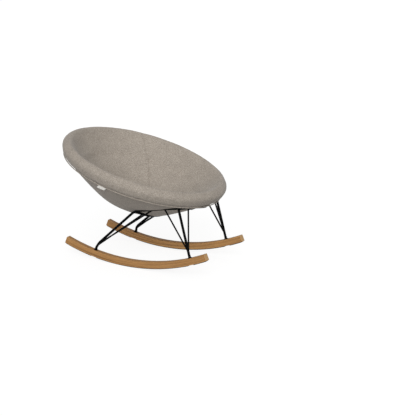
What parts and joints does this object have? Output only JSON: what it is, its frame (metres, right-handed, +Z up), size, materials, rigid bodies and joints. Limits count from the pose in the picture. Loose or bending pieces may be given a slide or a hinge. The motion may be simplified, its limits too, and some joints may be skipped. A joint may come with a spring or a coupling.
{
  "type": "rocking chair",
  "caption": "Low lounge rocking chair: a round padded bowl seat on a black rod frame with two curved oak runners.",
  "frame": {"origin": "middle of the bounding box in plan, at floor level", "axes": "+Z up, -Y towards the chair's front, +X towards the sitter's left"},
  "size_m": [0.883, 0.9868, 0.6696],
  "materials": {
    "felt": "matte",
    "tag_ribbon": "matte",
    "shell_plastic": "matte",
    "black_steel": "satin",
    "zinc_steel": "satin",
    "oak": "satin",
    "strip_rubber": "matte"
  },
  "bodies": {
    "root": {"bowl_shell": "shell_plastic", "brace_front_rail_left": "black_steel", "brace_front_rail_right": "black_steel", "brace_front_saddle_left": "black_steel", "brace_front_saddle_right": "black_steel", "brace_rear_rail_left": "black_steel", "brace_rear_rail_right": "black_steel", "brace_rear_saddle_left": "black_steel", "brace_rear_saddle_right": "black_steel", "foot_socket_front_left": "black_steel", "foot_socket_front_right": "black_steel", "foot_socket_rear_left": "black_steel", "foot_socket_rear_right": "black_steel", "leg_front_left": "black_steel", "leg_front_right": "black_steel", "leg_rear_left": "black_steel", "leg_rear_right": "black_steel", "mount_tab_front_left": "black_steel", "mount_tab_front_right": "black_steel", "mount_tab_rear_left": "black_steel", "mount_tab_rear_right": "black_steel", "outer_cover": "felt", "rim_piping": "felt", "rocker_bolt_front_left": "zinc_steel", "rocker_bolt_front_right": "zinc_steel", "rocker_bolt_rear_left": "zinc_steel", "rocker_bolt_rear_right": "zinc_steel", "rocker_left": "oak", "rocker_right": "oak", "rocker_washer_front_left": "zinc_steel", "rocker_washer_front_right": "zinc_steel", "rocker_washer_rear_left": "zinc_steel", "rocker_washer_rear_right": "zinc_steel", "saddle_bar_front": "black_steel", "saddle_bar_rear": "black_steel", "seat_cushion": "felt", "shell_insert_front_left": "zinc_steel", "shell_insert_front_right": "zinc_steel", "shell_insert_rear_left": "zinc_steel", "shell_insert_rear_right": "zinc_steel", "side_rail_left": "black_steel", "side_rail_right": "black_steel", "side_tag": "tag_ribbon", "strip_front_left": "strip_rubber", "strip_front_right": "strip_rubber", "strip_middle_left": "strip_rubber", "strip_middle_right": "strip_rubber", "strip_rear_left": "strip_rubber", "strip_rear_right": "strip_rubber", "tab_screw_front_left": "zinc_steel", "tab_screw_front_right": "zinc_steel", "tab_screw_rear_left": "zinc_steel", "tab_screw_rear_right": "zinc_steel"}
  },
  "joints": []
}
